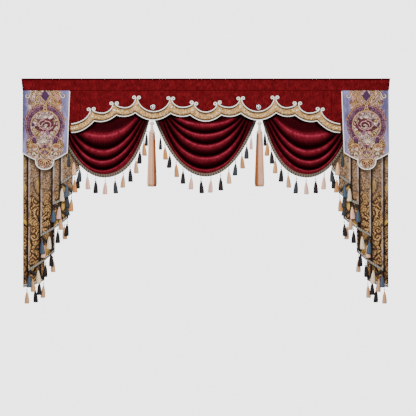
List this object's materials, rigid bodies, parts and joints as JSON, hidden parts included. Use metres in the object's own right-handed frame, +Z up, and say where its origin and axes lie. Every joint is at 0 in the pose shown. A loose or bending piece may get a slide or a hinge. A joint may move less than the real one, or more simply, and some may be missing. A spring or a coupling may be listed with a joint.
{
  "type": "swag and tail drape",
  "caption": "Velvet valance with a folded header, scalloped gold band, rolled swags with tassel fringe, stacked leaf jacquard tails, satin side panels and long tassels.",
  "frame": {"origin": "middle of the top edge of the header, on the wall plane", "axes": "+X to the right as seen from the room, +Y towards the wall, +Z up; the front faces -Y"},
  "size_m": [2.2058, 0.0809, 1.3475],
  "materials": {
    "header_velvet": "dark red velvet",
    "velvet": "crimson velvet",
    "brocade": "gold brocade with pale flecks",
    "ivory_cord": "twisted ivory cord",
    "satin": "lavender satin with a woven medallion",
    "jacquard": "brown and gold leaf jacquard",
    "fringe": "olive braid with black and beige tassels",
    "tassel_thread": "cream satin thread",
    "silver": "domed silver metal"
  },
  "bodies": {
    "root": {"header": "header_velvet", "pelmet": "velvet", "gold_band": "brocade", "lower_piping": "ivory_cord", "scroll_cord_01": "ivory_cord", "scroll_cord_02": "ivory_cord", "scroll_cord_03": "ivory_cord", "scroll_cord_04": "ivory_cord", "scroll_cord_05": "ivory_cord", "scroll_cord_06": "ivory_cord", "scroll_cord_07": "ivory_cord", "scroll_cord_08": "ivory_cord", "scroll_cord_09": "ivory_cord", "scroll_cord_10": "ivory_cord", "scroll_cord_11": "ivory_cord", "stud_left": "silver", "stud_right": "silver", "swag_left": "velvet", "swag_middle": "velvet", "swag_right": "velvet", "swag_fringe_left": "fringe", "swag_fringe_middle": "fringe", "swag_fringe_right": "fringe", "tail_left": "jacquard", "tail_right": "jacquard", "tail_fringe_left": "fringe", "tail_fringe_right": "fringe", "side_panel_left": "satin", "side_panel_right": "satin", "panel_piping_left": "ivory_cord", "panel_piping_right": "ivory_cord", "big_tassel_left": "tassel_thread", "big_tassel_right": "tassel_thread", "tassel_bead_left": "tassel_thread", "tassel_bead_right": "tassel_thread"}
  },
  "joints": []
}
